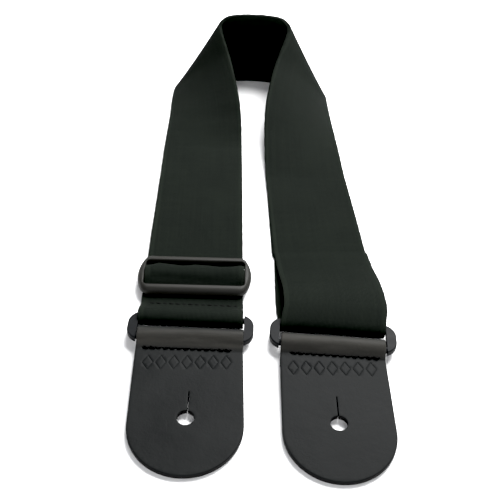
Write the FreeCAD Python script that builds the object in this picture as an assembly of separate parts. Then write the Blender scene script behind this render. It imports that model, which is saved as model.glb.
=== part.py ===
import FreeCAD, Part
import math
import os

# Guitar strap lying on a table: 50 mm webbing bent like a collar, a slider on the left leg,
# and a plastic ring with a leather end tab on each leg.
# Frame: +Z up, +Y from the tabs towards the back of the collar, +X to the right.
# The origin is the middle of the base on the table. All sizes are in millimetres.

V = FreeCAD.Vector

# ---- webbing ----
WEB_WIDTH = 50.0
LAYER = 1.3
STACK = 2.8
STEPS = 4

# ---- rings ----
RING_LENGTH = 60.6
RING_DEPTH = 18.4
RING_END = 4.7
RING_THICK = 3.3
RING_END_RADIUS = 7.2
RING_EDGE = 0.6
RING_BAR_RADIUS = 1.55
BAR_Z = 4.9
BAR_SPAN = 12.4
BAR_CAVITY = 2.3
PLAN_HEIGHT = 20.0

# ---- leather tabs ----
LEATHER = 2.6
FLAP_END = 11.0
TAB_PIVOT = 8.0
HOLE_RADIUS = 3.8
SLIT_LENGTH = 10.0
SLIT_WIDTH = 0.5

# ---- slider ----
SLIDER_LENGTH = 58.8
SLIDER_DEPTH = 27.0
SLIDER_THICK = 4.2
SLIDER_BASE = 3.3
SLIDER_BAR = 4.1
SLIDER_WINDOW = 51.6
SLIDER_BULGE = 3.9
SLIDER_CORNER = 4.5
SLIDER_WINDOW_CORNER = 2.2
SLIDER_UPPER_EDGE = 2.6
SLIDER_LOWER_EDGE = 0.9
SLIDER_INNER_EDGE = 0.6
CENTRE_BAR_WIDTH = 5.0
CENTRE_BAR_BASE = 3.6
CENTRE_BAR_THICK = 2.6
BAR_GAP = 0.2

# ---- thread ----
THREAD_RADIUS = 0.45
TAB_STITCH_PITCH = 3.27
TAB_STITCH_COUNT = 13
LOOP_STITCH_PITCH = 3.2
LOOP_STITCH_COUNT = 14

# ---- where things lie: x, y of the ring's lower bar and the turn about Z, in radians ----
LEFT_END = (-32.0, -98.5, 0.0)
RIGHT_END = (36.0, -100.2, -0.045)
SLIDER_PLACE = (-33.1, -54.4, 0.02)
# Each tab was cut and sewn a little differently: the width, the hole's distance from the bar and
# from the middle of the round end, the body's skew, the stitch row's distance from the bar and
# the slope of the fold.
LEFT_TAB = (50.2, 45.6, 3.0, 0.055, 6.7, math.radians(45.0))
RIGHT_TAB = (49.0, 43.6, 3.9, 0.068, 5.3, math.radians(52.0))

# The middle surface of the doubled webbing, as pairs of outer and inner edge points,
# from the ring end of the left leg, round the back, to the middle of the right leg.
# Each stretch starts at the pair where the one before it ends.
LEFT_LEG = [
    ((-58.6, -73.1, 1.4), (-7.3, -73.1, 1.4)),
    ((-60.1, -26.2, 1.4), (-9.1, -24.6, 1.4)),
    ((-61.9, 37.8, 1.4), (-11.5, 39.4, 1.4)),
]
LEFT_TURN = [
    ((-61.9, 37.8, 1.4), (-11.5, 39.4, 1.4)),
    ((-62.9, 71.8, 1.4), (-12.9, 73.4, 1.4)),
    ((-63.2, 95.8, 1.4), (-14.1, 93.8, 9.6)),
    ((-63.3, 113.8, 1.4), (-16.3, 108.8, 18.0)),
    ((-63.9, 131.8, 1.4), (-20.1, 125.8, 25.5)),
    ((-64.0, 145.8, 1.4), (-25.5, 145.8, 33.5)),
    ((-63.5, 152.8, 1.4), (-30.4, 157.8, 41.5)),
    ((-61.0, 157.8, 1.4), (-31.8, 164.2, 45.8)),
    ((-55.2, 161.0, 1.4), (-29.4, 167.6, 48.6)),
    ((-46.0, 164.3, 1.4), (-25.0, 169.4, 50.2)),
    ((-28.0, 168.8, 1.4), (-18.0, 170.4, 50.9)),
]
NECK = [
    ((-28.0, 168.8, 1.4), (-18.0, 170.4, 50.9)),
    ((-8.0, 170.8, 1.4), (-8.0, 170.6, 51.2)),
    ((12.0, 167.8, 1.4), (2.0, 170.4, 50.9)),
]
RIGHT_TURN = [
    ((12.0, 167.8, 1.4), (2.0, 170.4, 50.9)),
    ((28.0, 161.6, 1.4), (9.4, 169.2, 50.2)),
    ((37.0, 157.0, 1.4), (13.5, 167.0, 48.6)),
    ((42.7, 151.8, 1.4), (16.0, 163.0, 45.8)),
    ((44.7, 145.8, 1.4), (14.2, 154.8, 41.5)),
    ((45.1, 137.8, 1.4), (9.2, 139.8, 34.5)),
    ((46.0, 121.8, 1.4), (4.9, 120.8, 28.0)),
    ((47.6, 101.8, 1.4), (1.8, 99.8, 20.5)),
    ((49.5, 77.8, 1.4), (1.4, 75.8, 10.6)),
    ((51.7, 46.4, 1.4), (2.9, 43.0, 1.6)),
]
RIGHT_LEG = [
    ((51.7, 46.4, 1.4), (2.9, 43.0, 1.6)),
    ((53.9, 22.8, 1.4), (4.6, 18.8, 1.4)),
    ((58.3, -27.0, 1.4), (8.0, -30.8, 1.4)),
]
# The loose end of the right leg: the upper layer rises, curls round the ring's upper bar and
# comes back as the lower layer. Each row is the strip's centre and its turn about Z.
RIGHT_CURL = [
    ((33.6, -28.9, 2.15), 0.077),
    ((35.3, -44.2, 4.2), 0.10),
    ((37.2, -58.2, 7.2), 0.08),
    ((38.0, -70.2, 9.6), 0.02),
    ((38.0, -78.8, 10.4), -0.02),
    ((37.2, -84.6, 9.6), -0.04),
    ((36.6, -88.9, 7.9), -0.045),
    ((36.3, -90.9, 5.2), -0.045),
    ((36.1, -90.0, 2.7), -0.045),
    ((35.9, -87.0, 1.1), -0.03),
    ((35.3, -80.2, 0.65), 0.0),
    ((34.2, -62.2, 0.65), 0.04),
    ((33.6, -28.9, 0.65), 0.077),
]


def catmull_rom(before, start, end, after, t):
    """A point on the smooth curve through start and end, at t from 0 to 1."""
    linear = (end - before) * t
    square = (before * 2 - start * 5 + end * 4 - after) * (t * t)
    cube = (start * 3 - before - end * 3 + after) * (t * t * t)
    return start + (linear + square + cube) * 0.5


def smooth_line(points, steps):
    """The points of a smooth curve through all the given points, with steps spans between two."""
    first = points[0] * 2 - points[1]
    last = points[-1] * 2 - points[-2]
    padded = [first] + points + [last]
    line = []
    for i in range(len(points) - 1):
        before, start, end, after = padded[i:i + 4]
        for k in range(steps):
            line.append(catmull_rom(before, start, end, after, k / steps))
    line.append(points[-1])
    return line


def direction(line, i):
    """The unit direction of a line of points at point i."""
    low = max(i - 1, 0)
    high = min(i + 1, len(line) - 1)
    return (line[high] - line[low]).normalize()


def above(line, lowest):
    """The line of points, with none lower than the given height."""
    return [V(point.x, point.y, max(point.z, lowest)) for point in line]


def sections(outer, inner, thickness):
    """The cross-sections of a ribbon of even thickness between two edge lines."""
    wires = []
    for i in range(len(outer)):
        across = inner[i] - outer[i]
        along = direction(outer, i) + direction(inner, i)
        rise = across.cross(along).normalize() * (thickness / 2)
        corners = [outer[i] - rise, inner[i] - rise, inner[i] + rise, outer[i] + rise]
        wires.append(Part.makePolygon(corners + [corners[0]]))
    return wires


def flat_solid(outer, inner, thickness):
    """A flat ribbon on the table between two edge lines."""
    outline = [V(point.x, point.y, 0) for point in outer + inner[::-1]]
    face = Part.Face(Part.makePolygon(outline + [outline[0]]))
    return face.extrude(V(0, 0, thickness))


def doubled_webbing():
    """The doubled webbing's nodes, cut from one smooth strip so that they meet face to face."""
    stretches = {
        "webbing_left_leg": LEFT_LEG,
        "webbing_left_turn": LEFT_TURN,
        "webbing_neck": NECK,
        "webbing_right_turn": RIGHT_TURN,
        "webbing_right_leg": RIGHT_LEG,
    }
    pairs = [LEFT_LEG[0]]
    for stretch in stretches.values():
        pairs.extend(stretch[1:])
    lowest = STACK / 2
    outer = above(smooth_line([V(*pair[0]) for pair in pairs], STEPS), lowest)
    inner = above(smooth_line([V(*pair[1]) for pair in pairs], STEPS), lowest)
    wires = sections(outer, inner, STACK)
    made = {}
    start = 0
    for name, stretch in stretches.items():
        end = start + (len(stretch) - 1) * STEPS
        made[name] = Part.makeLoft(wires[start:end + 1], True, True)
        start = end
    last = (len(LEFT_LEG) - 1) * STEPS + 1
    made["webbing_left_leg"] = flat_solid(outer[:last], inner[:last], STACK)
    return made


def curl():
    """The single layer of webbing that curls round the right ring's upper bar."""
    pairs = pairs_from_centres(RIGHT_CURL, WEB_WIDTH)
    outer = smooth_line([V(*pair[0]) for pair in pairs], STEPS)
    inner = smooth_line([V(*pair[1]) for pair in pairs], STEPS)
    return Part.makeLoft(sections(outer, inner, LAYER), True, True)


def pairs_from_centres(rows, width):
    """Edge point pairs of a strip of even width, from its centre points and turns about Z."""
    pairs = []
    for centre, turn in rows:
        half = V(math.cos(turn), math.sin(turn), 0) * (width / 2)
        middle = V(*centre)
        pairs.append((middle + half, middle - half))
    return pairs


def placed(shape, place):
    """The shape turned about Z and moved to a place on the table."""
    x, y, turn = place
    moved = shape.copy()
    moved.rotate(V(0, 0, 0), V(0, 0, 1), math.degrees(turn))
    moved.translate(V(x, y, 0))
    return moved


def straight(start, end):
    """A straight edge in the plane x = 0, between two (y, z) points."""
    return Part.LineSegment(V(0, *start), V(0, *end)).toShape()


def rounded(start, middle, end):
    """A round edge in the plane x = 0, through three (y, z) points."""
    return Part.Arc(V(0, *start), V(0, *middle), V(0, *end)).toShape()


def extruded(face, width):
    """A face in the plane x = 0 made into a solid of the given width, centred on x = 0."""
    solid = face.extrude(V(width, 0, 0)).Solids[0]
    solid.translate(V(-width / 2, 0, 0))
    return solid


def rounded_plate(length, depth, height, radius, base):
    """A flat plate centred on the z axis, with its four upright edges rounded."""
    plate = Part.makeBox(length, depth, height, V(-length / 2, -depth / 2, base))
    return plate.makeFillet(radius, upright_edges(plate))


def bulged_plate(length, depth, height, bulge, radius, base):
    """A flat plate centred on the z axis, whose two ends bulge out and whose corners are rounded."""
    end = length / 2 - bulge
    side = depth / 2
    corners = [V(-end, -side, base), V(end, -side, base), V(end, side, base), V(-end, side, base)]
    edges = [
        Part.LineSegment(corners[0], corners[1]).toShape(),
        Part.Arc(corners[1], V(length / 2, 0, base), corners[2]).toShape(),
        Part.LineSegment(corners[2], corners[3]).toShape(),
        Part.Arc(corners[3], V(-length / 2, 0, base), corners[0]).toShape(),
    ]
    plate = Part.Face(Part.Wire(edges)).extrude(V(0, 0, height))
    return plate.makeFillet(radius, upright_edges(plate))


def upright_edges(shape):
    """The straight edges of a shape that run along Z."""
    return [edge for edge in shape.Edges if abs(edge.tangentAt(edge.FirstParameter).z) > 0.9]


def rims(shape):
    """The edges of a flat frame's top and bottom faces."""
    box = shape.BoundBox
    levels = (box.ZMin, box.ZMax)
    found = []
    for edge in shape.Edges:
        flat = edge.BoundBox.ZLength < 0.01
        if flat and min(abs(edge.BoundBox.ZMin - level) for level in levels) < 0.01:
            found.append(edge)
    return found


def ring():
    """A plastic ring with flat ends and two round bars, its lower bar's axis over the origin."""
    base = BAR_Z - RING_THICK / 2
    plate = rounded_plate(RING_LENGTH, RING_DEPTH, RING_THICK, RING_END_RADIUS, base)
    plate = plate.makeFillet(RING_EDGE, rims(plate))
    plate.translate(V(0, BAR_SPAN / 2, 0))
    between = RING_LENGTH - 2 * RING_END
    corner = V(-between / 2, -RING_DEPTH, 0)
    frame = plate.cut(Part.makeBox(between, 3 * RING_DEPTH, PLAN_HEIGHT, corner))
    for y in (0.0, BAR_SPAN):
        start = V(-between / 2 - 1.0, y, BAR_Z)
        frame = frame.fuse(Part.makeCylinder(RING_BAR_RADIUS, between + 2.0, start, V(1, 0, 0)))
    return frame


def fold_profile(thickness, angle, far_side):
    """A layer folded round a bar, with both layers meeting where the slope ends.

    far_side is the list of outline points from the slope's foot round the far end to the flap.
    """
    outer = BAR_CAVITY + thickness
    top = BAR_Z + outer * math.cos(angle)
    out_leave = (-outer * math.sin(angle), top)
    in_leave = (-BAR_CAVITY * math.sin(angle), BAR_Z + BAR_CAVITY * math.cos(angle))
    floor = BAR_Z - BAR_CAVITY
    wedge = (in_leave[0] - (in_leave[1] - floor) / math.tan(angle), floor)
    under = (0.0, BAR_Z - outer)
    edges = [rounded(under, (outer, BAR_Z), out_leave)]
    path = [out_leave] + far_side + [under]
    for start, end in zip(path, path[1:]):
        edges.append(straight(start, end))
    hollow = [
        rounded((0.0, floor), (BAR_CAVITY, BAR_Z), in_leave),
        straight(in_leave, wedge),
        straight(wedge, (0.0, floor)),
    ]
    return Part.Face(Part.Wire(edges)).cut(Part.Face(Part.Wire(hollow)))


def tab_body(width, hole_reach, hole_to_cap, skew):
    """The plan of a tab's body: straight sides and a half-round end, from the stitch line."""
    half = width / 2
    hole_y = TAB_PIVOT - hole_reach
    cap_y = hole_y - hole_to_cap
    corners = [V(-half, 0, 0), V(-half, cap_y, 0), V(half, cap_y, 0), V(half, 0, 0)]
    edges = [
        Part.LineSegment(corners[0], corners[1]).toShape(),
        Part.Arc(corners[1], V(0, cap_y - half, 0), corners[2]).toShape(),
        Part.LineSegment(corners[2], corners[3]).toShape(),
        Part.LineSegment(corners[3], corners[0]).toShape(),
    ]
    body = Part.Face(Part.Wire(edges)).extrude(V(0, 0, PLAN_HEIGHT))
    hole = Part.makeCylinder(HOLE_RADIUS, PLAN_HEIGHT, V(0, hole_y, 0))
    slit_start = V(-SLIT_WIDTH / 2, hole_y, 0)
    slit = Part.makeBox(SLIT_WIDTH, HOLE_RADIUS + SLIT_LENGTH, PLAN_HEIGHT, slit_start)
    body = body.cut(hole).cut(slit)
    body.rotate(V(0, 0, 0), V(0, 0, 1), math.degrees(skew))
    body.translate(V(0, -TAB_PIVOT, 0))
    return body


def tab(width, hole_reach, hole_to_cap, skew, stitch_back, slope):
    """A leather end tab folded round the ring's lower bar, which is over the origin."""
    beyond = -hole_reach - hole_to_cap - width / 2 - 1.0
    far_side = [
        (-stitch_back, 2 * LEATHER),
        (beyond, LEATHER),
        (beyond, 0.0),
        (-FLAP_END, LEATHER * 0.95),
        (-FLAP_END, 0.0),
    ]
    blank = extruded(fold_profile(LEATHER, slope, far_side), width * 1.2)
    corner = V(-width / 2, -TAB_PIVOT, 0)
    fold_plan = Part.makeBox(width, TAB_PIVOT + RING_DEPTH, PLAN_HEIGHT, corner)
    body = tab_body(width, hole_reach, hole_to_cap, skew)
    plan = fold_plan.fuse(body).removeSplitter()
    return blank.common(plan)


def stitch_row(count, pitch, y, z, slant):
    """A row of short slanted threads lying across the x axis."""
    stitches = []
    for i in range(count):
        x = (i - (count - 1) / 2) * pitch
        reach = V(pitch * 0.86, slant, 0)
        start = V(x, y, z) - reach * 0.5
        stitches.append(Part.makeCylinder(THREAD_RADIUS, reach.Length, start, reach))
    return Part.makeCompound(stitches)


def left_loop():
    """The webbing's sewn end, folded round the ring's upper bar, which is over the origin."""
    flat = -13.0
    angle = math.radians(32.0)
    low = BAR_Z - BAR_CAVITY
    far_side = [(-8.6, low + LAYER * 1.1), (flat, STACK), (flat, 0.0), (-6.0, BAR_Z - BAR_CAVITY - LAYER)]
    loop = extruded(fold_profile(LAYER, angle, far_side), WEB_WIDTH)
    loop.rotate(V(0, 0, 0), V(0, 0, 1), 180)
    return loop


def slider_frame():
    """The flat three-bar slider, centred on the origin."""
    size = (SLIDER_LENGTH, SLIDER_DEPTH, SLIDER_THICK)
    plate = bulged_plate(*size, SLIDER_BULGE, SLIDER_CORNER, SLIDER_BASE)
    middle = SLIDER_BASE + SLIDER_THICK / 2
    upper = [edge for edge in rims(plate) if edge.CenterOfMass.z > middle]
    plate = plate.makeFillet(SLIDER_UPPER_EDGE, upper)
    lower = [edge for edge in rims(plate) if edge.CenterOfMass.z < middle]
    plate = plate.makeFillet(SLIDER_LOWER_EDGE, lower)
    window_size = (SLIDER_WINDOW, SLIDER_DEPTH - 2 * SLIDER_BAR, SLIDER_THICK)
    window = rounded_plate(*window_size, SLIDER_WINDOW_CORNER, SLIDER_BASE)
    frame = plate.cut(window)
    opening = window.BoundBox
    opening.enlarge(0.01)
    inner = [edge for edge in rims(frame) if opening.isInside(edge.CenterOfMass)]
    frame = frame.makeFillet(SLIDER_INNER_EDGE, inner)
    length = SLIDER_WINDOW + 2.0
    corner = V(-length / 2, -CENTRE_BAR_WIDTH / 2, CENTRE_BAR_BASE)
    bar = Part.makeBox(length, CENTRE_BAR_WIDTH, CENTRE_BAR_THICK, corner)
    return frame.fuse(bar)


def slider_hump():
    """The webbing that goes over the slider's centre bar and the end that is sewn round it."""
    reach = SLIDER_DEPTH / 2 - SLIDER_BAR - 0.4
    foot = SLIDER_BASE - 0.15
    crest = [(-reach, foot), (-6.2, 6.0), (-2.2, 8.1), (2.4, 8.3), (6.6, 6.4), (reach, foot)]
    curve = Part.BSplineCurve()
    curve.interpolate([V(0, *point) for point in crest])
    face = Part.Face(Part.Wire([curve.toShape(), straight(crest[-1], crest[0])]))
    hump = extruded(face, WEB_WIDTH)
    width = CENTRE_BAR_WIDTH + 2 * BAR_GAP
    top = CENTRE_BAR_BASE + CENTRE_BAR_THICK + BAR_GAP
    corner = V(-WEB_WIDTH, -width / 2, 0)
    return hump.cut(Part.makeBox(2 * WEB_WIDTH, width, top, corner))


def slider_stitches():
    """The hidden stitch row that closes the sewn end behind the centre bar."""
    return stitch_row(LOOP_STITCH_COUNT, LOOP_STITCH_PITCH, 5.0, 5.2, 0.0)


def at_upper_bar(shape, place):
    """A shape made over the origin, moved to the axis of a ring's upper bar."""
    moved = shape.copy()
    moved.translate(V(0, BAR_SPAN, 0))
    return placed(moved, place)


def tab_stitches(stitch_back):
    """The visible stitch row that closes a tab's fold."""
    return stitch_row(TAB_STITCH_COUNT, TAB_STITCH_PITCH, -stitch_back - 0.4, 2 * LEATHER, 0.8)


def loop_stitches():
    """The stitch row that closes the sewn end of the webbing behind the left ring."""
    return stitch_row(LOOP_STITCH_COUNT, LOOP_STITCH_PITCH, 12.2, STACK + 0.3, 0.0)


nodes = {
    **doubled_webbing(),
    "webbing_right_curl": curl(),
    "webbing_left_loop": at_upper_bar(left_loop(), LEFT_END),
    "left_loop_stitches": at_upper_bar(loop_stitches(), LEFT_END),
    "slider_frame": placed(slider_frame(), SLIDER_PLACE),
    "webbing_slider_hump": placed(slider_hump(), SLIDER_PLACE),
    "slider_hump_stitches": placed(slider_stitches(), SLIDER_PLACE),
}
for side, place, sewing in (("left", LEFT_END, LEFT_TAB), ("right", RIGHT_END, RIGHT_TAB)):
    nodes[side + "_ring"] = placed(ring(), place)
    nodes[side + "_tab"] = placed(tab(*sewing), place)
    nodes[side + "_tab_stitches"] = placed(tab_stitches(sewing[4]), place)

os.makedirs("parts", exist_ok=True)
for name, shape in nodes.items():
    shape.exportStep("parts/" + name + ".step")
    print(name, len(shape.Solids), "solids", round(shape.Volume), "mm3")
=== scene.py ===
import math

import bpy
import numpy as np
from mathutils import Matrix, Vector, noise
from mathutils.geometry import delaunay_2d_cdt


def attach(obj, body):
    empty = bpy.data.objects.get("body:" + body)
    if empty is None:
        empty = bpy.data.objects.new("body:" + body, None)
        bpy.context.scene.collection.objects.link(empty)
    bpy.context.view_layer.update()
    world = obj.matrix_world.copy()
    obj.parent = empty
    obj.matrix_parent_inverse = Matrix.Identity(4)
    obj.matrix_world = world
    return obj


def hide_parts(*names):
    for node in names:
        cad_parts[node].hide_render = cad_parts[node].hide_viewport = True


# A guitar strap lying on a table, bent like a collar. Everything is in metres, in the row frame:
# +Z up, +Y from the leather tabs towards the back of the collar, +X to the right.

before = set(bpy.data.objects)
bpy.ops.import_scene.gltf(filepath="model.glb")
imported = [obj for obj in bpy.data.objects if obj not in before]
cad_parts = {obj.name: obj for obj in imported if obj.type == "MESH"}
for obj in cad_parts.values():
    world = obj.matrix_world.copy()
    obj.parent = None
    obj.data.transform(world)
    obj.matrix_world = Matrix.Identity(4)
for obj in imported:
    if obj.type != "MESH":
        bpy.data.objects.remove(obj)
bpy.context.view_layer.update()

# ---- webbing ----
WEB_WIDTH = 0.050
# One layer's thickness, how far it lies from the middle of the two, and that middle's height
# where the strap lies flat.
LAYER = 0.00126
LAYER_OFFSET = 0.0007
FLAT_Z = 0.0014
# The distance between a strip's cross sections, and the spans of a smooth line between two points.
SECTION_SPACING = 0.0008
ROUTE_STEPS = 12
SELVEDGE = 0.0024
# How far the strip's edges wander, how quickly along it, and the step from one weft to the next.
EDGE_WANDER = 0.00022
WANDER_RATE = 260.0
WEFT_STEP = 0.00009
# The lower layer of the left leg starts here, behind the sewn end.
LOWER_START_Y = -0.0695
# How high the edge of the upright back stands over the table.
UPRIGHT_GAP = 0.0001
# The right leg's lower layer has slipped inwards: by how much, and from where to where along X.
LOWER_SLIP = 0.0009
SLIP_START_X = 0.0525
SLIP_RUN_X = 0.006
# Where it goes round a ring or a bar, the webbing is pressed a little wider.
LEFT_LOOP_WIDTH = 0.0511
RIGHT_CURL_WIDTH = 0.0506
HUMP_WIDTH = 0.0515
# The hump's wrinkles, as (place across, place along, width, depth), their slant and their length.
HUMP_WRINKLES = [
    (-0.0195, 0.0062, 0.0024, 0.0011),
    (-0.0045, 0.0060, 0.0036, 0.0012),
    (0.0165, 0.0064, 0.0032, 0.0011),
    (0.0070, 0.0048, 0.0030, 0.0006),
]
WRINKLE_SLANT = 0.5
WRINKLE_LENGTH = 0.0020
# The hump's ragged rear edge: its place along, its spread, its lean and its waves, as (height,
# rate, phase).
REAR_PLACE = 0.0175
REAR_SPREAD = 0.0035
REAR_LEAN = 0.016
REAR_WAVES = [(0.0006, 330.0, 0.6), (0.0004, 610.0, 0.0), (0.0002, 1300.0, 0.0)]

# ---- where things lie: x, y of the ring's lower bar and the turn about Z ----
LEFT_END = (-0.0320, -0.0985, 0.0)
RIGHT_END = (0.0360, -0.1002, -0.045)
SLIDER_PLACE = (-0.0331, -0.0544, 0.02)
# How each tab was cut and sewn: the width, the hole's distance from the bar and from the middle
# of the round end, the body's skew, the stitch row's distance from the bar and the fold's slope.
LEFT_TAB = (0.0502, 0.0456, 0.0030, 0.045, 0.0067, math.radians(45.0))
RIGHT_TAB = (0.0490, 0.0436, 0.0039, 0.068, 0.0053, math.radians(52.0))
# How far each tab sits to the right of its ring's middle.
LEFT_ASIDE = 0.00045
RIGHT_ASIDE = -0.0001
# The slit: how far beside the hole's middle it ends, and how far it leans from the tab's axis.
LEFT_SLIT = (0.0006, 0.025)
RIGHT_SLIT = (0.0, 0.0)
# The stitch row: how far to the right it sits, and how far it turns from the fold.
LEFT_ROW = (-0.0012, 0.0)
RIGHT_ROW = (0.0008, 0.016)

# ---- rings and leather tabs ----
BAR_Z = 0.0049
BAR_SPAN = 0.0124
BAR_CAVITY = 0.0023
LEATHER = 0.0026
TAB_SPREAD = 0.0001
FLAP_END = 0.011
TAB_PIVOT = 0.008
HOLE_RADIUS = 0.0038
SLIT_LENGTH = 0.010
SLIT_HALF = 0.00022
EDGE_RADIUS = 0.0005
PUNCH_RADIUS = 0.00016
# The pattern's point spacing in the fold and in the body, how near a point may lie to a line,
# and how far the grid of points reaches to each side.
FINE_STEP = 0.0006
BODY_STEP = 0.0013
NEAREST_POINT = 0.00042
GRID_LEFT = -0.0247
GRID_RIGHT = 0.0249
# How far the foot of the fold lies past the stitch row, towards the tip, and the lengths of the
# two handles that shape the slope down to it.
FOOT_PAST = 0.0019
PUSH_LENGTH = 0.0024
PULL_LENGTH = 0.0020
# How far past the stitch row the skew starts, and over what length it comes in.
SKEW_START = 0.0004
SKEW_RUN = 0.0030
# The pressed row of lozenges: count, pitch, how far it sits to the left and past the stitch row,
# half sizes across and along, and groove depth.
LOZENGE_COUNT = 7
LOZENGE_PITCH = 0.0060
LOZENGE_ASIDE = 0.0008
LOZENGE_PAST = 0.0082
LOZENGE_HALF = (0.0025, 0.0040)
GROOVE_DEPTH = 0.00020
# Each needle hole's depth and the radius of the dent round it.
NEEDLE_DEPTH = 0.0007
NEEDLE_RADIUS = 0.0006
# The fold's creases and its lighter band (real pull-up at the bend, with painted sheen on the
# fold's front-facing slope): how far before the stitch row, and how wide.
CREASE_PLACE = 0.0062
CREASE_SPREAD = 0.0040
CREASE_DEPTH = 0.0006
WEAR_SHEEN_PLACE = 0.0050
WEAR_SHEEN_SPREAD = 0.0042
# How uneven the whole outer face is.
WAVE_DEPTH = 0.00010
# The flap's end is thinned by this much, over this length.
SKIVE_DEPTH = 0.0003
SKIVE_LENGTH = 0.006

# ---- thread ----
THREAD_RADIUS = 0.00045
PLY_RADIUS = THREAD_RADIUS * 0.56
PLY_OFFSET = THREAD_RADIUS * 0.52
PLY_SIDES = 7
PLY_COUNT = 3
TWISTS = 1.6
TAB_STITCH_PITCH = 0.00318
TAB_STITCH_COUNT = 13
LOOP_STITCH_PITCH = 0.0032
LOOP_STITCH_COUNT = 14
# The stitch row on the left loop and the one on the slider's sewn end, as (y, z) in their frames.
LOOP_ROW = (BAR_SPAN + 0.0122, 2 * LAYER_OFFSET + LAYER / 2 + FLAT_Z / 2)
SEWN_ROW = (0.0050, 0.0046)

# ---- camera ----
CAMERA_PLACE = (-0.005, -0.3502, 0.272)
CAMERA_TILT = math.radians(50.0)
CAMERA_ROLL = 0.04
CAMERA_LENS = 55.3
BLACK_LEVEL = 0.007

# The middle surface of the doubled webbing, as (outer, inner) edge points, from the ring end of
# the left leg, round the back, to where the right leg starts to rise towards its ring.
STATIONS = [
    ((-0.0586, -0.0731, 0.0014), (-0.0073, -0.0731, 0.0014)),
    ((-0.0601, -0.0262, 0.0014), (-0.0091, -0.0246, 0.0014)),
    ((-0.0619, 0.0378, 0.0014), (-0.0115, 0.0394, 0.0014)),
    ((-0.0629, 0.0718, 0.0014), (-0.0129, 0.0734, 0.0014)),
    ((-0.0632, 0.0958, 0.0014), (-0.0141, 0.0938, 0.0096)),
    ((-0.0633, 0.1138, 0.0014), (-0.0163, 0.1088, 0.0180)),
    ((-0.0639, 0.1318, 0.0014), (-0.0201, 0.1258, 0.0255)),
    ((-0.0640, 0.1458, 0.0014), (-0.0255, 0.1458, 0.0335)),
    ((-0.0635, 0.1528, 0.0014), (-0.0304, 0.1578, 0.0415)),
    ((-0.0610, 0.1578, 0.0014), (-0.0318, 0.1642, 0.0458)),
    ((-0.0552, 0.1610, 0.0014), (-0.0294, 0.1676, 0.0486)),
    ((-0.0460, 0.1643, 0.0014), (-0.0250, 0.1694, 0.0502)),
    ((-0.0280, 0.1688, 0.0014), (-0.0180, 0.1704, 0.0509)),
    ((-0.0080, 0.1708, 0.0014), (-0.0080, 0.1706, 0.0512)),
    ((0.0120, 0.1678, 0.0014), (0.0020, 0.1704, 0.0509)),
    ((0.0280, 0.1616, 0.0014), (0.0094, 0.1692, 0.0502)),
    ((0.0370, 0.1570, 0.0014), (0.0135, 0.1670, 0.0486)),
    ((0.0427, 0.1518, 0.0014), (0.0160, 0.1630, 0.0458)),
    ((0.0447, 0.1458, 0.0014), (0.0142, 0.1548, 0.0415)),
    ((0.0451, 0.1378, 0.0014), (0.0092, 0.1398, 0.0345)),
    ((0.0460, 0.1218, 0.0014), (0.0049, 0.1208, 0.0280)),
    ((0.0476, 0.1018, 0.0014), (0.0018, 0.0998, 0.0205)),
    ((0.0495, 0.0778, 0.0014), (0.0014, 0.0758, 0.0106)),
    ((0.0517, 0.0464, 0.0014), (0.0029, 0.0430, 0.0016)),
    ((0.0539, 0.0228, 0.0014), (0.0046, 0.0188, 0.0014)),
    ((0.0583, -0.0270, 0.0014), (0.0080, -0.0308, 0.0014)),
]
# The lower end of the right leg, over the right ring's upper bar and back underneath, as the
# strip's centre and its turn about Z.
RIGHT_CURL = [
    ((0.0336, -0.0289, 0.00215), 0.077),
    ((0.0353, -0.0442, 0.0042), 0.10),
    ((0.0372, -0.0582, 0.0072), 0.08),
    ((0.0380, -0.0702, 0.0096), 0.02),
    ((0.0380, -0.0788, 0.0104), -0.02),
    ((0.0372, -0.0846, 0.0096), -0.04),
    ((0.0366, -0.0889, 0.0079), -0.045),
    ((0.0363, -0.0909, 0.0052), -0.045),
    ((0.0361, -0.0900, 0.0027), -0.045),
    ((0.0359, -0.0870, 0.0011), -0.03),
    ((0.0353, -0.0802, 0.00067), 0.0),
    ((0.0342, -0.0622, 0.00067), 0.04),
    ((0.0336, -0.0289, 0.00067), 0.077),
]
# The sewn end at the left ring: from its cut end on the table, round the upper bar, to the leg.
LEFT_LOOP = [
    ((-0.0330, -0.0702, 0.00070), 0.0),
    ((-0.0329, -0.0765, 0.00070), 0.0),
    ((-0.0328, -0.0815, 0.00080), 0.0),
    ((-0.0327, -0.0845, 0.00130), 0.0),
    ((-0.0326, -0.0866, 0.00205), 0.0),
    ((-0.0325, -0.0886, 0.00300), 0.0),
    ((-0.0325, -0.0897, 0.00490), 0.0),
    ((-0.0325, -0.0888, 0.00720), 0.0),
    ((-0.0325, -0.0864, 0.00840), 0.0),
    ((-0.0326, -0.0834, 0.00790), 0.0),
    ((-0.0327, -0.0803, 0.00610), 0.0),
    ((-0.0328, -0.0771, 0.00370), 0.0),
    ((-0.0329, -0.0745, 0.00240), 0.0),
    ((-0.03295, -0.0731, 0.00210), 0.0),
]
# The webbing over the slider's centre bar, in the slider's own (y, z).
HUMP_PATH = [
    (-0.0086, 0.00350),
    (-0.0074, 0.00370),
    (-0.0058, 0.00480),
    (-0.0036, 0.00690),
    (-0.0008, 0.00805),
    (0.0026, 0.00815),
    (0.0055, 0.00650),
    (0.0072, 0.00480),
    (0.0084, 0.00360),
]
# The end sewn round the centre bar, under the hump.
SEWN_PATH = [
    (0.0066, 0.00350),
    (0.0050, 0.00400),
    (0.0036, 0.00520),
    (0.0022, 0.00665),
    (0.0000, 0.00690),
    (-0.0022, 0.00665),
    (-0.0032, 0.00540),
    (-0.0034, 0.00440),
    (-0.0036, 0.00360),
]


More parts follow.
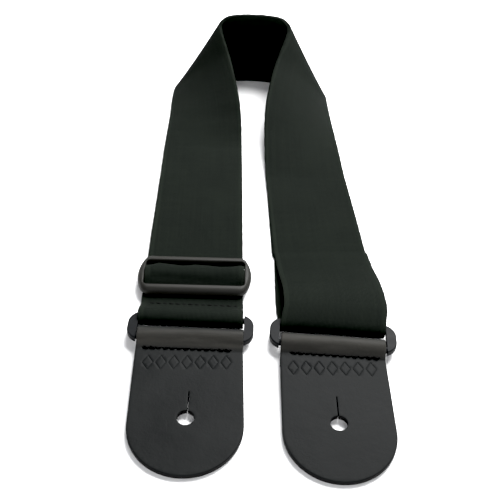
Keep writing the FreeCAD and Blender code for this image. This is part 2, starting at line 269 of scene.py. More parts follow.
# ------------------------------------------------------------------ camera, light and floor
def add_camera():
    """The camera, looking down at the strap from in front of the tabs."""
    camera = bpy.data.objects.new("camera", bpy.data.cameras.new("camera"))
    camera.data.sensor_width = 36.0
    camera.data.lens = CAMERA_LENS
    camera.data.clip_start = 0.01
    camera.data.clip_end = 20.0
    tilt = Matrix.Rotation(CAMERA_TILT, 4, "X") @ Matrix.Rotation(CAMERA_ROLL, 4, "Z")
    camera.matrix_world = Matrix.Translation(CAMERA_PLACE) @ tilt
    bpy.context.scene.collection.objects.link(camera)
    bpy.context.scene.camera = camera


def add_softbox(name, place, target, size, power):
    """A square area light aimed at a point."""
    light = bpy.data.lights.new(name, "AREA")
    light.size = size
    light.energy = power
    lamp = bpy.data.objects.new(name, light)
    aim = (Vector(target) - Vector(place)).to_track_quat("-Z", "Y")
    lamp.matrix_world = Matrix.Translation(place) @ aim.to_matrix().to_4x4()
    bpy.context.scene.collection.objects.link(lamp)


def add_studio():
    """A pale floor, a soft key light high behind on the right, a weak front light and a dim sky."""
    world = bpy.data.worlds.new("studio")
    world.use_nodes = True
    sky = world.node_tree.nodes["Background"]
    sky.inputs["Color"].default_value = (0.93, 0.95, 1.0, 1.0)
    sky.inputs["Strength"].default_value = 0.30
    bpy.context.scene.world = world
    add_softbox("key", place=(0.31, 0.62, 0.90), target=(0.0, 0.0, 0.0), size=0.70, power=46.0)
    add_softbox("front", place=(0.0, -0.90, 0.60), target=(0.0, -0.05, 0.0), size=0.80, power=6.0)
    view = bpy.context.scene.view_settings
    view.view_transform = "Standard"
    view.look = "None"
    view.use_curve_mapping = True
    view.curve_mapping.black_level = (BLACK_LEVEL, BLACK_LEVEL, BLACK_LEVEL)
    view.curve_mapping.update()

    paint = Graph("floor_paint")
    speckle = paint.noise(paint.object_position(), 40.0)
    paint.colour(paint.ramp(speckle, [(0.3, (0.86, 0.86, 0.86)), (0.7, (0.90, 0.90, 0.90))]))
    paint.shader.inputs["Roughness"].default_value = 0.8
    paint.shader.inputs["Specular IOR Level"].default_value = 0.1
    half = 3.0
    corners = [(-half, -half, 0.0), (half, -half, 0.0), (half, half, 0.0), (-half, half, 0.0)]
    floor = add_mesh("floor", corners, [(0, 1, 2, 3)], paint.material)


# ------------------------------------------------------------------ materials
class Graph:
    """A material's nodes, joined one call at a time."""

    def __init__(self, name):
        self.material = bpy.data.materials.new(name)
        self.material.use_nodes = True
        self.nodes = self.material.node_tree.nodes
        self.links = self.material.node_tree.links
        self.shader = self.nodes["Principled BSDF"]

    def put(self, socket, value):
        """Sets a socket to a number or colour, or joins it to another socket."""
        if isinstance(value, bpy.types.NodeSocket):
            self.links.new(value, socket)
        else:
            socket.default_value = value

    def add(self, kind, **settings):
        """A new node with the given properties."""
        node = self.nodes.new("ShaderNode" + kind)
        for key, value in settings.items():
            setattr(node, key, value)
        return node

    def math(self, operation, *values):
        """The result of one math node."""
        node = self.add("Math", operation=operation)
        for socket, value in zip(node.inputs, values):
            self.put(socket, value)
        return node.outputs[0]

    def object_position(self):
        """The place on the piece, in metres."""
        return self.add("TexCoord").outputs["Object"]

    def attribute(self, name):
        """A number kept at each of the mesh's points."""
        return self.add("Attribute", attribute_name=name).outputs["Fac"]

    def scaled(self, vector, factors):
        """A position stretched by a factor along each axis."""
        node = self.add("VectorMath", operation="MULTIPLY")
        self.put(node.inputs[0], vector)
        node.inputs[1].default_value = factors
        return node.outputs[0]

    def noise(self, vector, scale, detail=2.0):
        """Smooth noise from 0 to 1."""
        node = self.add("TexNoise")
        self.put(node.inputs["Vector"], vector)
        node.inputs["Scale"].default_value = scale
        node.inputs["Detail"].default_value = detail
        return node.outputs["Fac"]

    def cells(self, vector, scale):
        """The distance to the nearest edge between rounded cells."""
        node = self.add("TexVoronoi", feature="DISTANCE_TO_EDGE")
        self.put(node.inputs["Vector"], vector)
        node.inputs["Scale"].default_value = scale
        return node.outputs["Distance"]

    def ramp(self, value, stops):
        """A colour picked by a number, from (place, colour) stops."""
        node = self.add("ValToRGB")
        self.put(node.inputs["Fac"], value)
        elements = node.color_ramp.elements
        while len(elements) < len(stops):
            elements.new(0.5)
        for element, (place, colour) in zip(elements, stops):
            element.position = place
            element.color = (*colour, 1.0)
        return node.outputs["Color"]

    def mixed(self, share, first, second, blend="MIX"):
        """Two colours mixed by a share."""
        node = self.add("Mix", data_type="RGBA", blend_type=blend)
        self.put(node.inputs[0], share)
        self.put(node.inputs[6], first)
        self.put(node.inputs[7], second)
        return node.outputs[2]

    def colour(self, value):
        """Sets the surface's colour."""
        self.put(self.shader.inputs["Base Color"], value)

    def roughness(self, value):
        """Sets the surface's roughness."""
        self.put(self.shader.inputs["Roughness"], value)

    def bump(self, height, depth, below=None):
        """Bumps of a depth in metres, over any that lie below."""
        node = self.add("Bump")
        node.inputs["Strength"].default_value = 1.0
        node.inputs["Distance"].default_value = depth
        self.put(node.inputs["Height"], height)
        if below is not None:
            self.put(node.inputs["Normal"], below)
        self.put(self.shader.inputs["Normal"], node.outputs["Normal"])
        return node.outputs["Normal"]


def webbing_material():
    """Black nylon webbing: fine plain weave with painted shade in its gaps, selvedges painted
    lighter (partly their own tone, partly a painted highlight), faint streaks along the yarns.
    """
    cloth = Graph("webbing")
    place = cloth.add("UVMap", uv_map="cloth").outputs["UV"]
    split = cloth.add("SeparateXYZ")
    cloth.put(split.inputs[0], place)
    across, along = split.outputs[0], split.outputs[1]
    warp_pitch = 0.00060
    weft_pitch = 0.00052
    warp_count = cloth.math("MULTIPLY", across, 1.0 / warp_pitch)
    weft_count = cloth.math("MULTIPLY", along, 1.0 / weft_pitch)
    warp_arch = cloth.math("SINE", cloth.math("MULTIPLY", cloth.math("FRACT", warp_count), math.pi))
    weft_arch = cloth.math("SINE", cloth.math("MULTIPLY", cloth.math("FRACT", weft_count), math.pi))
    cell = cloth.math("ADD", cloth.math("FLOOR", warp_count), cloth.math("FLOOR", weft_count))
    over = cloth.math("FLOORED_MODULO", cell, 2.0)
    warp_top = cloth.math("MULTIPLY", warp_arch, cloth.math("MULTIPLY_ADD", weft_arch, 0.35, 0.65))
    weft_top = cloth.math("MULTIPLY", weft_arch, cloth.math("MULTIPLY_ADD", warp_arch, 0.5, 0.4))
    difference = cloth.math("SUBTRACT", weft_top, warp_top)
    weave = cloth.math("MULTIPLY_ADD", difference, over, warp_top)

    # Raised yarns are painted lighter and the low gaps between them darker: painted shade in the
    # weave's hollows.
    yarn_and_gap_shade = cloth.ramp(weave, [(0.05, (0.0024, 0.0032, 0.0025)), (0.95, (0.0092, 0.0120, 0.0097))])
    streaks = cloth.noise(cloth.scaled(place, (900.0, 14.0, 1.0)), 1.0, 3.0)
    bands = cloth.noise(cloth.scaled(place, (16.0, 620.0, 1.0)), 1.0, 2.0)
    cloudy = cloth.noise(cloth.object_position(), 38.0, 3.0)
    shade = cloth.math("MULTIPLY", streaks, 0.5)
    shade = cloth.math("ADD", shade, cloth.math("MULTIPLY", bands, 0.3))
    shade = cloth.math("ADD", shade, cloth.math("MULTIPLY", cloudy, 0.5))
    tint = cloth.ramp(shade, [(0.40, (0.80, 0.80, 0.82)), (0.90, (1.22, 1.20, 1.16))])
    colour = cloth.mixed(1.0, yarn_and_gap_shade, tint, "MULTIPLY")
    # The band along each selvedge is painted 25% lighter: partly the selvedge's own lighter tone,
    # partly a painted highlight along the edges.
    beyond = cloth.math("SUBTRACT", cloth.math("ABSOLUTE", across), WEB_WIDTH / 2 - SELVEDGE)
    edge = cloth.math("MULTIPLY", beyond, 1.0 / 0.0003)
    edge.node.use_clamp = True
    selvedge = cloth.mixed(1.0, colour, (1.25, 1.25, 1.22, 1.0), "MULTIPLY")
    cloth.colour(cloth.mixed(edge, colour, selvedge))
    cloth.shader.inputs["Roughness"].default_value = 0.85
    cloth.shader.inputs["Specular IOR Level"].default_value = 0.05
    slack = cloth.bump(cloudy, 0.0008)
    cloth.bump(weave, 0.00012, slack)
    return cloth.material


def leather_material():
    """Smooth matt black leather: fine pores, cloudy dye, a lighter band over the folds that is
    partly real pull-up and partly painted sheen, and a rough cut edge.
    """
    hide = Graph("leather")
    place = hide.object_position()
    pores = hide.cells(place, 1500.0)
    grain = hide.noise(place, 900.0, 4.0)
    cloudy = hide.noise(place, 55.0, 4.0)
    dye = hide.ramp(cloudy, [(0.30, (0.0050, 0.0056, 0.0057)), (0.70, (0.0084, 0.0091, 0.0091))])
    scuffs = hide.noise(hide.scaled(place, (70.0, 520.0, 300.0)), 1.0, 5.0)
    # The fold's lighter, warmer band: partly real pull-up where the leather bends, partly painted
    # sheen on the slope of the fold.
    wear_and_sheen = hide.attribute("wear_and_sheen")
    wear_sheen_share = hide.math("MULTIPLY", wear_and_sheen, hide.math("MULTIPLY_ADD", scuffs, 0.9, 0.45))
    wear_sheen_share.node.use_clamp = True
    colour = hide.mixed(wear_sheen_share, dye, (0.030, 0.029, 0.026, 1.0))
    fibres = hide.noise(hide.scaled(place, (900.0, 900.0, 2600.0)), 1.0, 3.0)
    core = hide.ramp(fibres, [(0.3, (0.004, 0.004, 0.004)), (0.7, (0.010, 0.010, 0.010))])
    hide.colour(hide.mixed(hide.attribute("cut"), colour, core))
    hide.roughness(hide.math("MULTIPLY_ADD", cloudy, 0.14, 0.52))
    hide.shader.inputs["Specular IOR Level"].default_value = 0.06
    slack = hide.bump(cloudy, 0.0005)
    soft = hide.bump(grain, 0.00006, slack)
    hide.bump(pores, 0.00004, soft)
    return hide.material


def plastic_material(name, light, dark, shine):
    """Moulded plastic with a fine satin texture and faint flow marks."""
    resin = Graph(name)
    place = resin.object_position()
    flow = resin.noise(resin.scaled(place, (60.0, 420.0, 200.0)), 1.0, 3.0)
    satin = resin.noise(place, 4200.0, 2.0)
    resin.colour(resin.ramp(flow, [(0.30, dark), (0.75, light)]))
    resin.roughness(resin.math("MULTIPLY_ADD", flow, 0.14, 0.44))
    resin.shader.inputs["Specular IOR Level"].default_value = shine
    slack = resin.bump(flow, 0.00012)
    resin.bump(satin, 0.000018, slack)
    return resin.material


def thread_material():
    """Waxed black sewing thread, with fine fibres along each ply."""
    ply = Graph("thread")
    fibres = ply.noise(ply.object_position(), 5200.0, 2.0)
    ply.colour(ply.ramp(fibres, [(0.3, (0.0010, 0.0010, 0.0010)), (0.7, (0.0026, 0.0026, 0.0026))]))
    ply.shader.inputs["Roughness"].default_value = 0.6
    ply.shader.inputs["Specular IOR Level"].default_value = 0.06
    ply.bump(fibres, 0.00005)
    return ply.material


# ------------------------------------------------------------------ meshes
def add_mesh(name, points, faces, material, numbers=None):
    """A new smooth mesh object, with any named numbers kept at its points."""
    mesh = bpy.data.meshes.new(name)
    mesh.from_pydata([tuple(point) for point in points], [], faces)
    mesh.validate()
    mesh.polygons.foreach_set("use_smooth", [True] * len(mesh.polygons))
    for key, values in (numbers or {}).items():
        mesh.attributes.new(key, "FLOAT", "POINT").data.foreach_set("value", values)
    mesh.materials.append(material)
    mesh.update()
    piece = bpy.data.objects.new(name, mesh)
    bpy.context.scene.collection.objects.link(piece)
    return piece


def unit(rows):
    """Each row made one long."""
    return rows / np.linalg.norm(rows, axis=-1, keepdims=True)


def smooth_line(points):
    """A smooth line through all the given points."""
    points = np.asarray(points, float)
    padded = np.vstack([2 * points[0] - points[1], points, 2 * points[-1] - points[-2]])
    line = []
    for i in range(len(points) - 1):
        before, start, end, after = padded[i:i + 4]
        for t in np.arange(ROUTE_STEPS) / ROUTE_STEPS:
            linear = (end - before) * t
            square = (2 * before - 5 * start + 4 * end - after) * t ** 2
            cube = (3 * start - before - 3 * end + after) * t ** 3
            line.append(start + (linear + square + cube) / 2)
    line.append(points[-1])
    return np.array(line)


def lengths_along(line):
    """The distance along a line of points at each of them."""
    return np.concatenate([[0.0], np.cumsum(np.linalg.norm(np.diff(line, axis=0), axis=1))])


def resampled(line, distances, wanted):
    """The points of a line at the wanted distances along it."""
    return np.stack([np.interp(wanted, distances, line[:, k]) for k in range(line.shape[1])], 1)


def edges_from_centres(rows, width):
    """The outer and inner edge lines of a strip, from its centre points and turns about Z."""
    centres = np.array([centre for centre, turn in rows])
    turns = np.array([turn for centre, turn in rows])
    half = np.stack([np.cos(turns), np.sin(turns), np.zeros(len(rows))], 1) * (width / 2)
    return smooth_line(centres + half), smooth_line(centres - half)


def strip_axes(outer, inner):
    """The directions across a strip and out of its face, at each place along it."""
    across = unit(inner - outer)
    along = unit(np.gradient((outer + inner) / 2, axis=0))
    return across, unit(np.cross(across, along))


def strip_section():
    """Half of a webbing layer's section, as (share of the half width, share of the half thickness).

    It has a round selvedge with a shallow groove inside it.
    """
    edge = [(1.0, 0.0), (0.997, 0.55), (0.990, 0.86), (0.975, 1.0), (0.945, 1.04), (0.915, 1.0)]
    edge += [(0.900, 0.90), (0.885, 0.98)]
    field = [(share, 1.0) for share in (0.75, 0.5, 0.25)]
    right = edge + field
    left = [(-share, height) for share, height in reversed(right)]
    return right + [(0.0, 1.0)] + left


def ribbon(name, outer, inner, material, bend=None):
    """A closed strip of webbing between two edge lines, with a "cloth" UV map in metres.

    bend gives each (point, across, distance along) an extra move out of the face.
    """
    distances = lengths_along((outer + inner) / 2)
    count = int(distances[-1] / SECTION_SPACING)
    wanted = np.linspace(0.0, distances[-1], count)
    outer = resampled(outer, distances, wanted)
    inner = resampled(inner, distances, wanted)
    for line in (outer, inner):
        line[1:-1] = (line[:-2] + 2 * line[1:-1] + line[2:]) / 4
    across, rise = strip_axes(outer, inner)
    middle = (outer + inner) / 2
    half_width = np.linalg.norm(inner - outer, axis=1) / 2

    top = strip_section()
    loop = [(share, height) for share, height in top]
    loop += [(share, -height) for share, height in reversed(top[1:-1])]
    shares = np.array([share for share, height in loop])
    heights = np.array([height for share, height in loop]) * (LAYER / 2)
    points = []
    uvs = []
    for i in range(count):
        weft = WEFT_STEP * (-1) ** i
        left = EDGE_WANDER * noise.noise(Vector((wanted[i] * WANDER_RATE, 3.7, 0.0))) + weft
        right = EDGE_WANDER * noise.noise(Vector((wanted[i] * WANDER_RATE, 9.1, 0.0))) - weft
        reach = half_width[i] + np.where(shares < 0, left, right) * np.abs(shares) ** 8
        out = np.array(heights)
        if bend is not None:
            out = out + bend(shares * half_width[i], wanted[i])
        row = middle[i] + np.outer(shares * reach, across[i]) + np.outer(out, rise[i])
        points.append(row)
        uvs.append(np.stack([shares * half_width[i], np.full(len(loop), wanted[i])], 1))
    points = np.vstack(points)
    uvs = np.vstack(uvs)

    size = len(loop)
    faces = [tuple(reversed(range(size)))]
    for i in range(count - 1):
        for k in range(size):
            following = (k + 1) % size
            low = i * size
            faces.append((low + k, low + following, low + size + following, low + size + k))
    faces.append(tuple((count - 1) * size + k for k in range(size)))
    piece = add_mesh(name, points, faces, material)
    corners = np.zeros(len(piece.data.loops), int)
    piece.data.loops.foreach_get("vertex_index", corners)
    layer = piece.data.uv_layers.new(name="cloth")
    layer.data.foreach_set("uv", uvs[corners].ravel())
    return piece


def placed(points, place):
    """Points in a ring's or slider's own frame, moved to their place on the table."""
    x, y, turn = place
    points = np.asarray(points, float)
    moved = np.array(points)
    moved[:, 0] = points[:, 0] * math.cos(turn) - points[:, 1] * math.sin(turn) + x
    moved[:, 1] = points[:, 0] * math.sin(turn) + points[:, 1] * math.cos(turn) + y
    return moved


# ------------------------------------------------------------------ webbing
def strap_edges():
    """The edge lines of the whole strip.

    It runs from the sewn end round the left ring, up the left leg, round the back and down the
    right leg as the upper layer, round the right ring, and all the way back as the lower layer.
    """
    outer = smooth_line([pair[0] for pair in STATIONS])
    inner = smooth_line([pair[1] for pair in STATIONS])
    for line in (outer, inner):
        line[:, 2] = np.maximum(line[:, 2], FLAT_Z)
    across, rise = strip_axes(outer, inner)
    # Where the strip stands up, its outer edge stands on the table itself.
    outer[:, 2] -= (FLAT_Z - UPRIGHT_GAP) * (1.0 - np.abs(rise[:, 2]))
    shift = rise * LAYER_OFFSET
    slip = across * LOWER_SLIP * np.clip((outer[:, :1] - SLIP_START_X) / SLIP_RUN_X, 0.0, 1.0)
    kept = (outer[:, 1] > LOWER_START_Y) | (outer[:, 0] > 0)
    loop_outer, loop_inner = edges_from_centres(LEFT_LOOP, LEFT_LOOP_WIDTH)
    curl_outer, curl_inner = edges_from_centres(RIGHT_CURL, RIGHT_CURL_WIDTH)
    # The left loop's rows run towards the leg, so its outer edge is on the -X side.
    lower_outer = (outer - shift + slip)[kept][::-1]
    lower_inner = (inner - shift + slip)[kept][::-1]
    route_outer = [loop_inner[:-1], outer + shift, curl_outer[1:-1], lower_outer]
    route_inner = [loop_outer[:-1], inner + shift, curl_inner[1:-1], lower_inner]
    return np.vstack(route_outer), np.vstack(route_inner)


def add_strap(material):
    """The whole strip of webbing, in one piece, lying where its CAD solids are."""
    outer, inner = strap_edges()
    strap = ribbon("webbing_strap", outer, inner, material)
    nodes = ["webbing_left_leg", "webbing_left_turn", "webbing_neck", "webbing_right_turn"]
    nodes += ["webbing_right_leg", "webbing_right_curl", "webbing_left_loop"]
    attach(strap, "webbing")
    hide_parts(*nodes)


def slider_line(path):
    """The edge lines of a full-width strip that follows a (y, z) path in the slider's frame."""
    half = HUMP_WIDTH / 2
    left = [(-half, y, z) for y, z in path]
    right = [(half, y, z) for y, z in path]
    return placed(smooth_line(left), SLIDER_PLACE), placed(smooth_line(right), SLIDER_PLACE)


def hump_bend(x, distance):
    """How far the hump's cloth stands out of its plain arch: wrinkles and a ragged rear edge."""
    out = np.zeros(len(x))
    for place, along, width, depth in HUMP_WRINKLES:
        aside = (x - place - (distance - along) * WRINKLE_SLANT) / width
        out -= depth * np.exp(-aside ** 2 - ((distance - along) / WRINKLE_LENGTH) ** 2)
    rear = math.exp(-((distance - REAR_PLACE) / REAR_SPREAD) ** 2)
    ragged = sum(height * np.sin(x * rate + phase) for height, rate, phase in REAR_WAVES)
    out += rear * (ragged - x * REAR_LEAN)
    return out


def add_hump(material):
    """The webbing over the slider's centre bar, and the end that is sewn round that bar."""
    left, right = slider_line(HUMP_PATH)
    hump = ribbon("webbing_slider_hump_cloth", left, right, material, hump_bend)
    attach(hump, "slider")
    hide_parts("webbing_slider_hump")
    left, right = slider_line(SEWN_PATH[::-1])
    sewn = ribbon("webbing_sewn_end", left, right, material)
    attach(sewn, "slider")


# ------------------------------------------------------------------ leather tabs
class TabPath:
    """The middle line of a tab's leather, from the cut end of the flap, round the bar, to the tip.

    It lies in the ring's own (y, z), where the lower bar's axis is at (0, BAR_Z).
    """

    def __init__(self, sewing, slit, row, aside):
        self.width, hole_reach, hole_to_cap, self.skew, stitch_back, slope = sewing
        self.slit_end, self.slit_lean = slit
        self.row = row
        self.aside = aside
        radius = BAR_CAVITY + LEATHER / 2
        tip_y = -hole_reach - hole_to_cap - self.width / 2 - 0.001
        flap = [(y, LEATHER / 2) for y in np.linspace(-FLAP_END, 0.0, 23)]
        last = math.pi / 2 + slope
        bend = [
            (radius * math.cos(a), BAR_Z + radius * math.sin(a))
            for a in np.linspace(-math.pi / 2, last, 34)[1:]
        ]
        body_z = 1.5 * LEATHER
        drop = LEATHER / (-stitch_back - tip_y)
        foot_y = -stitch_back - FOOT_PAST
        foot = np.array([foot_y, body_z + (foot_y + stitch_back) * drop])
        top = np.array(bend[-1])
        push = top - np.array([math.cos(slope), math.sin(slope)]) * PUSH_LENGTH
        pull = foot + np.array([PULL_LENGTH, PULL_LENGTH * drop])
        fall = []
        for t in np.linspace(0.0, 1.0, 20)[1:]:
            early = top * (1 - t) ** 3 + 3 * push * t * (1 - t) ** 2
            fall.append(tuple(early + 3 * pull * t * t * (1 - t) + foot * t ** 3))
        body = [(y, body_z + (y + stitch_back) * drop) for y in np.linspace(foot_y, tip_y, 60)[1:]]
        self.top_index = len(flap) + len(bend) - 1
        self.line = np.array(flap + bend + fall + body)
        self.distances = lengths_along(self.line)
        self.body_start = self.at_y(foot_y)
        self.cap = self.at_y(-hole_reach - hole_to_cap)
        self.hole = self.at_y(-hole_reach)
        self.stitch = self.at_y(-stitch_back - 0.0003)

    def half_width(self, s):
        """Half the leather's width, a little more over the body than in the fold."""
        spread = np.clip((np.asarray(s) - self.stitch) / 0.008, 0.0, 1.0)
        return self.width / 2 + TAB_SPREAD * spread

    def slit_middle(self, s):
        """Where the slit's middle is across the tab, at s along it."""
        return self.slit_end + self.slit_lean * (self.hole - s)

    def at_y(self, y):
        """The distance along the leather where its body, in front of the fold, is at a y."""
        body = self.line[self.top_index:]
        return float(np.interp(-y, -body[:, 0], self.distances[self.top_index:]))

    def middle(self, s):
        """The middle line's y and z at s along it."""
        return [np.interp(s, self.distances, self.line[:, k]) for k in range(2)]

    def place(self, v, s, out):
        """Points (across v, along s, out of the middle line by out) in the ring's frame."""
        s = np.asarray(s, float)
        step = 0.0003
        y, z = self.middle(s)
        y_ahead, z_ahead = self.middle(s + step)
        y_behind, z_behind = self.middle(s - step)
        dy = y_ahead - y_behind
        dz = z_ahead - z_behind
        size = np.hypot(dy, dz)
        y = y + out * dz / size
        z = z - out * dy / size
        share = np.clip((s - self.stitch - SKEW_START) / SKEW_RUN, 0.0, 1.0)
        turn = self.skew * share * share * (3 - 2 * share)
        x = v * np.cos(turn) - (y + TAB_PIVOT) * np.sin(turn) + self.aside
        y = v * np.sin(turn) + (y + TAB_PIVOT) * np.cos(turn) - TAB_PIVOT
        return np.stack([x, y, z], 1)


def arc_points(centre, radius, start, end, count):
    """Points on an arc, its two ends included."""
    angles = np.linspace(start, end, count)
    return [(centre[0] + radius * math.cos(a), centre[1] + radius * math.sin(a)) for a in angles]


def tab_outline(path, inset, rows):
    """The tab's outline in (v, s), moved in by inset: straight sides and a half-round end."""
    sides = [(path.half_width(s) - inset, s) for s in rows if s > inset + 0.0004]
    tip_radius = path.half_width(path.cap) - inset
    across = np.linspace(inset - path.width / 2, path.width / 2 - inset, 40)
    outline = list(sides)
    outline += arc_points((0.0, path.cap), tip_radius, 0.0, math.pi, 66)[1:-1]
    outline += [(-half, s) for half, s in reversed(sides)]
    outline += [(v, inset) for v in across]
    return outline


def keyhole(path, grow):
    """The button hole and its slit, in (v, s), grown by grow."""
    radius = HOLE_RADIUS + grow
    half = SLIT_HALF + grow
    right = math.asin((path.slit_end + half) / radius)
    left = math.asin((path.slit_end - half) / radius)
    end = path.hole - HOLE_RADIUS - SLIT_LENGTH
    outline = arc_points((0.0, path.hole), radius, right - math.pi / 2, 1.5 * math.pi + left, 44)
    slit = np.linspace(path.hole - radius, end, 12)[1:]
    outline += [(path.slit_middle(s) - half, s) for s in slit]
    outline += arc_points((path.slit_middle(end), end), half, math.pi, 2 * math.pi, 5)[1:-1]
    outline += [(path.slit_middle(s) + half, s) for s in slit[::-1]]
    return outline


def lozenges(path):
    """The groove lines of the pressed row of lozenges, as (outline, how deep) pairs."""
    across, along = LOZENGE_HALF
    corners = np.array([(across, 0.0), (0.0, along), (-across, 0.0), (0.0, -along)])
    loops = []
    for i in range(LOZENGE_COUNT):
        v = (i - LOZENGE_COUNT // 2) * LOZENGE_PITCH - LOZENGE_ASIDE
        centre = (v, path.stitch + LOZENGE_PAST)
        for scale, depth in ((1.13, 0.0), (1.0, GROOVE_DEPTH), (0.87, 0.0)):
            outline = []
            for a, b in zip(corners, np.roll(corners, -1, axis=0)):
                side = [a + (b - a) * t for t in (0.0, 0.2, 0.4, 0.6, 0.8)]
                outline += [tuple(centre + scale * point) for point in side]
            loops.append((outline, depth))
    return loops


def needle_holes(path):
    """The places in (v, s) where the tab's thread goes through the leather."""
    middle, turn = path.row
    places = [(i - TAB_STITCH_COUNT / 2) * TAB_STITCH_PITCH for i in range(TAB_STITCH_COUNT + 1)]
    return [(middle + v, path.stitch - turn * v) for v in places]


def rounded(shape, radius):
    """A rounded edge's lines, as (outline, how deep) pairs; shape gives the outline at an inset."""
    angles = [math.radians(a) for a in (0, 30, 60, 90)]
    return [(shape(radius * (1 - math.cos(a))), radius * (1 - math.sin(a))) for a in angles]


def in_keyhole(path, v, s):
    """True for a place in the button hole or its slit."""
    in_hole = math.hypot(v, s - path.hole) < HOLE_RADIUS * 0.995
    slit_start = path.hole - HOLE_RADIUS - SLIT_LENGTH - SLIT_HALF
    in_slit = abs(v - path.slit_middle(s)) < SLIT_HALF and slit_start < s < path.hole
    return in_hole or in_slit


def tab_pattern(path):
    """The flat pattern's points, how far each lies under the face, and its triangles."""
    rows = list(np.arange(0.0, path.body_start + 0.002, FINE_STEP))
    rows += list(np.arange(rows[-1] + BODY_STEP, path.cap, BODY_STEP))
    loops = rounded(lambda inset: tab_outline(path, inset, rows), EDGE_RADIUS)
    loops += rounded(lambda grow: keyhole(path, grow), PUNCH_RADIUS)
    loops += lozenges(path)

    points = []
    depths = []
    edges = []
    for outline, depth in loops:
        start = len(points)
        size = len(outline)
        points += outline
        depths += [depth] * size
        edges += [(start + k, start + (k + 1) % size) for k in range(size)]
    dent = arc_points((0.0, 0.0), NEEDLE_RADIUS, 0.0, 1.75 * math.pi, 8)
    for v, s in needle_holes(path):
        points.append((v, s))
        depths.append(NEEDLE_DEPTH)
        points += [(v + dv, s + ds) for dv, ds in dent]
        depths += [0.0] * len(dent)

    taken = np.array(points)
    tip = path.cap + path.width / 2 + 0.001
    inner_rows = rows + list(np.arange(rows[-1] + BODY_STEP, tip, BODY_STEP))
    margin = EDGE_RADIUS * 1.6
    for j, s in enumerate(inner_rows):
        reach = float(path.half_width(s))
        if s > path.cap:
            reach = math.sqrt(max(reach ** 2 - (s - path.cap) ** 2, 0.0))
        for v in np.arange(GRID_LEFT + (j % 2) * BODY_STEP / 2, GRID_RIGHT, BODY_STEP):
            inside = abs(v) < reach - margin and s > margin
            if inside and np.min(np.hypot(taken[:, 0] - v, taken[:, 1] - s)) > NEAREST_POINT:
                points.append((v, s))
                depths.append(0.0)

    flat = [Vector(point) for point in points]
    made = delaunay_2d_cdt(flat, edges, [], 1, 1e-9)
    verts, triangles, origins = made[0], made[2], made[3]
    found = [depths[o[0]] if o else 0.0 for o in origins]
    flat = np.array([tuple(v) for v in verts])
    kept = []
    for triangle in triangles:
        if not in_keyhole(path, *flat[list(triangle)].mean(0)):
            kept.append(tuple(triangle))
    return flat, np.array(found), kept


def rim_edges(triangles):
    """The edges that only one triangle has, in that triangle's order."""
    seen = {}
    for a, b, c in triangles:
        for edge in ((a, b), (b, c), (c, a)):
            seen[frozenset(edge)] = None if frozenset(edge) in seen else edge
    return [edge for edge in seen.values() if edge]


def leather_faces(path, flat, depths, seed):
    """How far the leather's outer and under faces lie from its middle line."""
    v, s = flat[:, 0], flat[:, 1]
    wave = np.array([noise.noise(Vector((a * 55.0, b * 48.0, seed))) for a, b in flat])
    crease = np.array([noise.noise(Vector((a * 45.0, b * 420.0, 7.0))) for a, b in flat])
    on_fold = np.exp(-((s - path.stitch + CREASE_PLACE) / CREASE_SPREAD) ** 2)
    out = LEATHER / 2 - depths + wave * WAVE_DEPTH
    out = out + on_fold * np.minimum(crease, 0.1) * CREASE_DEPTH
    # The under face follows the rounded edges, but not the needle holes and the lozenges.
    rounding = depths.clip(0.0, EDGE_RADIUS) * (depths < NEEDLE_DEPTH)
    skived = np.clip(s / SKIVE_LENGTH, 0.0, 1.0)
    under = -(LEATHER / 2 - rounding) + SKIVE_DEPTH * (1 - skived)
    near_row = (s > path.stitch - 0.001) & (s < path.stitch + 0.013)
    grooves = (depths > 0) & (np.abs(v) < 0.022) & near_row
    return out, np.where(grooves, -LEATHER / 2, under)


def add_tab(side, place, path, material):
    """One leather tab: the pattern cut out, folded round its ring and laid on the table."""
    flat, depths, triangles = tab_pattern(path)
    v, s = flat[:, 0], flat[:, 1]
    out, under = leather_faces(path, flat, depths, 2.0 + place[0] * 90)
    count = len(flat)
    points = np.vstack([path.place(v, s, out), path.place(v, s, under)])
    faces = []
    for a, b, c in triangles:
        faces.append((a, b, c))
        faces.append((c + count, b + count, a + count))
    cut = np.zeros(2 * count)
    for a, b in rim_edges(triangles):
        faces.append((b, a, a + count, b + count))
        cut[[a, b, a + count, b + count]] = 1.0
    # The lighter band over the fold's slope: partly real pull-up, partly painted sheen.
    wear_and_sheen = np.tile(np.exp(-((s - path.stitch + WEAR_SHEEN_PLACE) / WEAR_SHEEN_SPREAD) ** 4), 2)
    if is_inside_out(points, faces[0], path, v[faces[0][0]], s[faces[0][0]]):
        faces = [tuple(reversed(face)) for face in faces]
    name = side + "_tab_leather"
    tab = add_mesh(name, placed(points, place), faces, material, {"wear_and_sheen": wear_and_sheen, "cut": cut})
    tab.data.set_sharp_from_angle(angle=math.radians(50.0))
    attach(tab, side + "_tab")
    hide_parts(side + "_tab")


def is_inside_out(points, face, path, v, s):
    """True if a face of the outer side turns towards the middle line."""
    a, b, c = (points[k] for k in face)
    v, s = np.array([v]), np.array([s])
    outward = path.place(v, s, 0.01) - path.place(v, s, 0.0)
    return float(np.dot(np.cross(b - a, c - a), outward[0])) < 0


# ------------------------------------------------------------------ thread
def ply_tube(line):
    """The points and faces of one ply of thread, a closed tube along a line of points."""
    line = np.asarray(line, float)
    along = unit(np.gradient(line, axis=0))
    side = unit(np.cross(along, np.array([0.13, 0.07, 1.0])))
    up = np.cross(side, along)
    points = []
    for i in range(len(line)):
        for k in range(PLY_SIDES):
            angle = 2 * math.pi * k / PLY_SIDES
            spoke = math.cos(angle) * side[i] + math.sin(angle) * up[i]
            points.append(line[i] + PLY_RADIUS * spoke)
    faces = [tuple(range(PLY_SIDES))]
    for i in range(len(line) - 1):
        for k in range(PLY_SIDES):
            low, following = i * PLY_SIDES, (k + 1) % PLY_SIDES
            high = low + PLY_SIDES
            faces.append((low + k, high + k, high + following, low + following))
    faces.append(tuple((len(line) - 1) * PLY_SIDES + k for k in reversed(range(PLY_SIDES))))
    return points, faces


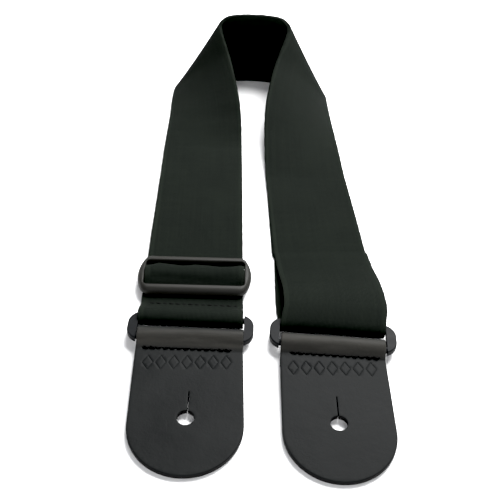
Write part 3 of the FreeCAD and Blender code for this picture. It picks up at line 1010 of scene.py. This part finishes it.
def twisted_stitch(start, end, lift, sink, phase):
    """A stitch of three twisted plies between two needle holes, as a list of lines.

    Each line is in (v, s, height over the face).
    """
    share = np.linspace(0.0, 1.0, 17)
    v = start[0] + (end[0] - start[0]) * share
    s = start[1] + (end[1] - start[1]) * share
    height = -sink + (lift + sink) * np.sin(np.pi * share) ** 0.55
    lines = []
    for ply in range(PLY_COUNT):
        turn = phase + ply * 2 * math.pi / PLY_COUNT + share * 2 * math.pi * TWISTS
        around = [s + PLY_OFFSET * np.cos(turn), height + PLY_OFFSET * np.sin(turn)]
        lines.append(np.stack([v, *around], 1))
    return lines


def row_lines(holes, slant, lift, backtack):
    """The plies of a whole stitch row, with some stitches sewn twice at each end."""
    lines = []
    last = len(holes) - 1
    for i in range(last):
        start = (holes[i][0] + 0.0001, holes[i][1] + slant)
        end = (holes[i + 1][0] - 0.0001, holes[i + 1][1] - slant)
        uneven = 0.00012 * math.sin(i * 2.3)
        lines += twisted_stitch(start, end, lift + uneven, 0.0006, i * 1.3)
        if i < backtack or i >= last - backtack:
            start = (holes[i][0] + 0.0006, holes[i][1] - slant - 0.0003)
            end = (holes[i + 1][0] - 0.0002, holes[i + 1][1] + slant + 0.0003)
            lines += twisted_stitch(start, end, lift + 0.00022, 0.0005, i * 2.1)
    return lines


def add_thread(name, lines, body, nodes, material):
    """Thread plies joined into one piece that stands for a CAD stitch row."""
    points = []
    faces = []
    for line in lines:
        ply_points, ply_faces = ply_tube(line)
        start = len(points)
        points += ply_points
        faces += [tuple(start + k for k in face) for face in ply_faces]
    piece = add_mesh(name, points, faces, material)
    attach(piece, body)
    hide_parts(*nodes)


def add_tab_thread(side, place, path, material):
    """The visible stitch row that closes a tab's fold."""
    lines = []
    for line in row_lines(needle_holes(path), slant=0.0004, lift=0.00040, backtack=2):
        lines.append(placed(path.place(line[:, 0], line[:, 1], LEATHER / 2 + line[:, 2]), place))
    add_thread(side + "_tab_thread", lines, side + "_tab", [side + "_tab_stitches"], material)


def flat_row(place, row, slant):
    """A flat stitch row sunk in the webbing that it crosses, as lines in the row frame."""
    y, z = row
    first = -LOOP_STITCH_COUNT / 2 * LOOP_STITCH_PITCH
    holes = [(first + i * LOOP_STITCH_PITCH, y) for i in range(LOOP_STITCH_COUNT + 1)]
    lines = []
    for line in row_lines(holes, slant, lift=0.00012, backtack=0):
        line[:, 2] += z
        lines.append(placed(line, place))
    return lines


def dress_node(name, material):
    """Gives a CAD node that stays visible its Blender material."""
    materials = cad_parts[name].data.materials
    materials.clear()
    materials.append(material)


# ------------------------------------------------------------------ making it all
add_camera()
add_studio()
webbing = webbing_material()
leather = leather_material()
thread = thread_material()
slider_plastic = plastic_material(
    "slider_plastic", light=(0.0190, 0.0190, 0.0168), dark=(0.0140, 0.0138, 0.0122), shine=0.10
)
ring_plastic = plastic_material(
    "ring_plastic", light=(0.0070, 0.0077, 0.0085), dark=(0.0052, 0.0058, 0.0064), shine=0.055
)

add_strap(webbing)
add_hump(webbing)
tab_paths = {
    "left": (LEFT_END, TabPath(LEFT_TAB, LEFT_SLIT, LEFT_ROW, LEFT_ASIDE)),
    "right": (RIGHT_END, TabPath(RIGHT_TAB, RIGHT_SLIT, RIGHT_ROW, RIGHT_ASIDE)),
}
for side, (place, path) in tab_paths.items():
    add_tab(side, place, path, leather)
    add_tab_thread(side, place, path, thread)
    dress_node(side + "_ring", ring_plastic)
dress_node("slider_frame", slider_plastic)
loop_row = flat_row(LEFT_END, LOOP_ROW, slant=0.0001)
add_thread("loop_thread", loop_row, "webbing", ["left_loop_stitches"], thread)
sewn_row = flat_row(SLIDER_PLACE, SEWN_ROW, slant=0.0)
add_thread("sewn_end_thread", sewn_row, "slider", ["slider_hump_stitches"], thread)
